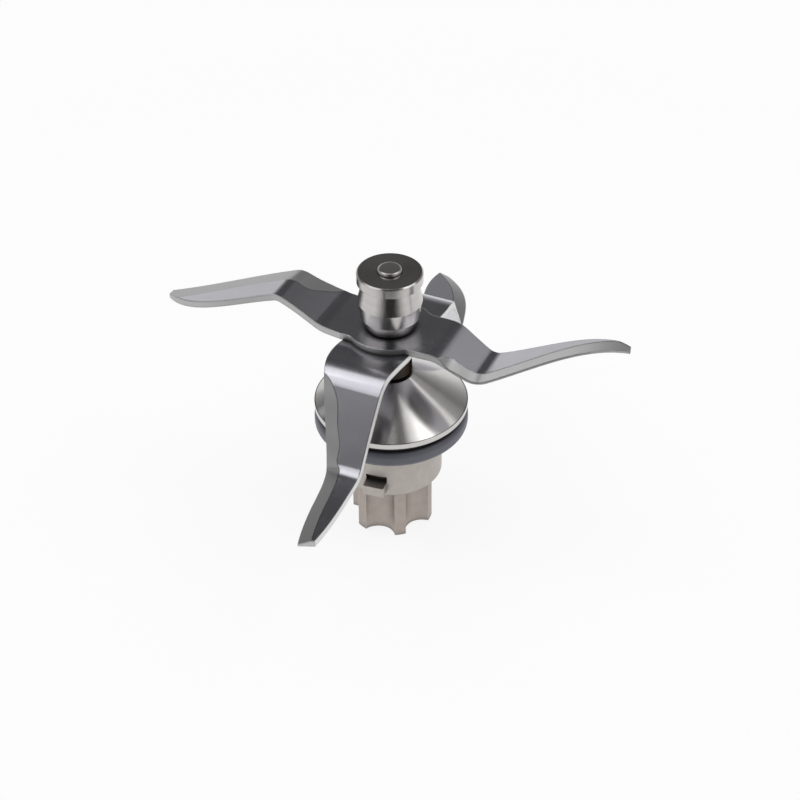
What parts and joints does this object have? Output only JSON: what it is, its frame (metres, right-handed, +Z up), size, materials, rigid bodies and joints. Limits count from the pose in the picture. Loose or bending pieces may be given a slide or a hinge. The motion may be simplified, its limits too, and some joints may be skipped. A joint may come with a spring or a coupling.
{
  "type": "blender blade assembly",
  "caption": "Blender blade unit: crossed bent blades under a turned knob, spinning on ball bearings in a bayonet bush with a stainless bell, a rubber seal and a star-shaped drive.",
  "frame": {"origin": "on the shaft axis at the lower end of the drive star, on which the unit stands", "axes": "+Z up along the shaft axis; +X along the upper blade's dipping arm"},
  "size_m": [0.1243, 0.1236, 0.0792],
  "materials": {
    "blade_steel": "satin stainless sheet, edges ground bright",
    "turned_steel": "fine turned stainless",
    "shaft_steel": "ground steel",
    "sintered_steel": "matt warm grey sintered metal",
    "cast_bush": "satin warm grey metal",
    "seal_rubber": "blue-grey rubber, slight sheen",
    "lip_rubber": "black rubber",
    "bearing_steel": "polished steel",
    "spring_steel": "dark spring steel",
    "cage_plastic": "natural moulded plastic"
  },
  "bodies": {
    "housing": {"bell": "turned_steel", "bayonet_bush": "cast_bush", "flange_seal": "seal_rubber", "shaft_seal_case": "bearing_steel", "shaft_seal_lip": "lip_rubber", "outer_spacer": "bearing_steel", "circlip": "spring_steel", "lower_bearing_outer_race": "bearing_steel", "lower_bearing_bottom_shield": "lip_rubber", "lower_bearing_top_shield": "lip_rubber", "upper_bearing_outer_race": "bearing_steel", "upper_bearing_bottom_shield": "lip_rubber", "upper_bearing_top_shield": "lip_rubber"},
    "rotor": {"shaft": "shaft_steel", "knob": "turned_steel", "upper_blade": "blade_steel", "lower_blade": "blade_steel", "blade_sleeve": "turned_steel", "drive_star": "sintered_steel", "inner_spacer": "bearing_steel", "lower_bearing_inner_race": "bearing_steel", "upper_bearing_inner_race": "bearing_steel"},
    "lower_ball_set": {"lower_bearing_balls": "bearing_steel", "lower_bearing_cage": "cage_plastic"},
    "upper_ball_set": {"upper_bearing_balls": "bearing_steel", "upper_bearing_cage": "cage_plastic"}
  },
  "joints": [
    {"name": "rotor_spin", "type": "hinge", "parent": "housing", "child": "rotor", "pos_m": [0, 0, 0.0373], "axis": [0, 0, 1], "continuous": true},
    {"name": "lower_ball_orbit", "type": "hinge", "parent": "housing", "child": "lower_ball_set", "pos_m": [0, 0, 0.0212], "axis": [0, 0, 1], "continuous": true},
    {"name": "upper_ball_orbit", "type": "hinge", "parent": "housing", "child": "upper_ball_set", "pos_m": [0, 0, 0.0332], "axis": [0, 0, 1], "continuous": true}
  ],
  "couplings": [
    {"joint": "lower_ball_orbit", "follows": "rotor_spin", "ratio": 0.3677},
    {"joint": "upper_ball_orbit", "follows": "rotor_spin", "ratio": 0.3677}
  ]
}
